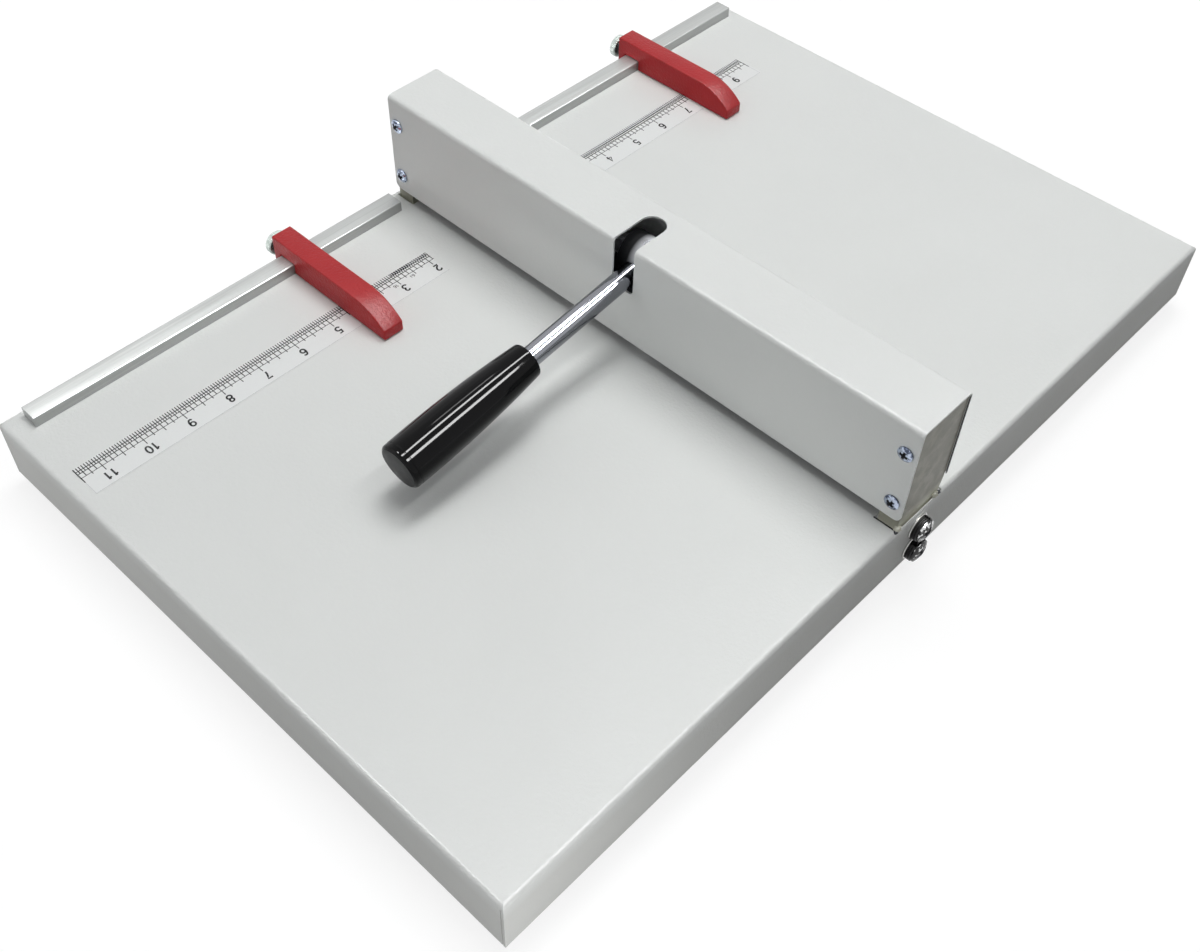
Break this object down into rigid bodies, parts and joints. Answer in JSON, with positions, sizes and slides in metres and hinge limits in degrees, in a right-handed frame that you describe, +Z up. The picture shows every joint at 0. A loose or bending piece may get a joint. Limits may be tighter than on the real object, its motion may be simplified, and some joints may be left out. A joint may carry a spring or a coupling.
{
  "type": "desktop paper creasing machine",
  "caption": "Hand-lever desktop creasing machine: a flat steel bed with side fences, sliding stops and inch scales, and a lever that presses a blade into a grooved die under a screwed cover.",
  "frame": {"origin": "centre of the machine's bounding box in X and Y, on the surface that its feet stand on", "axes": "+Y from the lever side towards the rear of the bed, along the paper's way; +Z up; +X to the operator's right, along the blade"},
  "size_m": [0.407, 0.596, 0.1209],
  "materials": {
    "powder_grey": "fine-textured light grey powder coat",
    "plain_sheet": "plain zinc-coated sheet",
    "rubber": "matt black rubber",
    "zinc": "bright zinc plate",
    "bright_washer": "bright plain steel",
    "black_steel": "black oxide",
    "dark_steel": "dark machined steel",
    "tool_steel": "ground tool steel",
    "spring_wire": "drawn spring wire",
    "olive_plate": "olive zinc plate, slightly mottled",
    "bronze": "plain bearing bronze",
    "fence_aluminium": "brushed aluminium",
    "scale_sticker": "printed film, satin",
    "chrome_rod": "polished chrome",
    "black_grip": "gloss black",
    "powder_red": "fine-textured red powder coat",
    "knurled_steel": "knurled zinc-plated steel"
  },
  "bodies": {
    "base": {"bed_pan": "powder_grey", "bed_edges": "powder_grey", "front_rib": "plain_sheet", "rear_rib": "plain_sheet", "rubber_feet": "rubber", "foot_screws": "zinc", "foot_nuts": "zinc", "cross_beam": "dark_steel", "beam_end_blocks": "dark_steel", "beam_screws": "black_steel", "opening_strips": "plain_sheet", "lower_die": "tool_steel", "die_screws": "zinc", "left_side_plate": "olive_plate", "right_side_plate": "olive_plate", "flange_screws": "zinc", "spring_washers": "black_steel", "flat_washers": "bright_washer", "flange_spacers": "zinc", "shaft_bushes": "bronze", "spring_rail": "tool_steel", "spring_studs": "tool_steel", "return_springs": "spring_wire", "housing_cover": "powder_grey", "cover_screws": "zinc", "front_fence": "fence_aluminium", "rear_fence": "fence_aluminium", "fence_screws": "zinc", "front_scale": "scale_sticker", "rear_scale": "scale_sticker"},
    "lever": {"cam_shaft": "tool_steel", "left_cam": "dark_steel", "right_cam": "dark_steel", "cam_set_screws": "black_steel", "shaft_collars": "tool_steel", "lever_hub": "tool_steel", "hub_pin": "tool_steel", "lever_rod": "chrome_rod", "lever_grip": "black_grip"},
    "blade_unit": {"blade_carrier": "dark_steel", "crease_blade": "tool_steel", "blade_clamp": "dark_steel", "clamp_screws": "zinc", "spring_lugs": "tool_steel", "lug_screws": "black_steel"},
    "front_stop": {"front_stop": "powder_red"},
    "rear_stop": {"rear_stop": "powder_red"},
    "front_thumb_screw": {"front_thumb_screw": "knurled_steel"},
    "rear_thumb_screw": {"rear_thumb_screw": "knurled_steel"}
  },
  "joints": [
    {"name": "lever_hinge", "type": "hinge", "parent": "base", "child": "lever", "pos_m": [0.0007, 0.002, 0.0995], "axis": [-1, 0, 0], "range_deg": [0, 104]},
    {"name": "blade_slide", "type": "slide", "parent": "base", "child": "blade_unit", "axis": [0, 0, 1], "range_m": [0, 0.005], "deforming": ["return_springs"]},
    {"name": "front_stop_slide", "type": "slide", "parent": "base", "child": "front_stop", "axis": [0, 1, 0], "range_m": [-0.172, 0.068]},
    {"name": "rear_stop_slide", "type": "slide", "parent": "base", "child": "rear_stop", "axis": [0, 1, 0], "range_m": [-0.157, 0.083]},
    {"name": "front_thumb_screw_turn", "type": "hinge", "parent": "front_stop", "child": "front_thumb_screw", "pos_m": [-0.2, -0.104, 0.0531], "axis": [-1, 0, 0], "range_deg": [0, 360]},
    {"name": "rear_thumb_screw_turn", "type": "hinge", "parent": "rear_stop", "child": "rear_thumb_screw", "pos_m": [-0.2, 0.197, 0.0531], "axis": [-1, 0, 0], "range_deg": [0, 360]}
  ],
  "couplings": [
    {"joint": "blade_slide", "follows": "lever_hinge", "m_per_rad": 0.0027546}
  ]
}
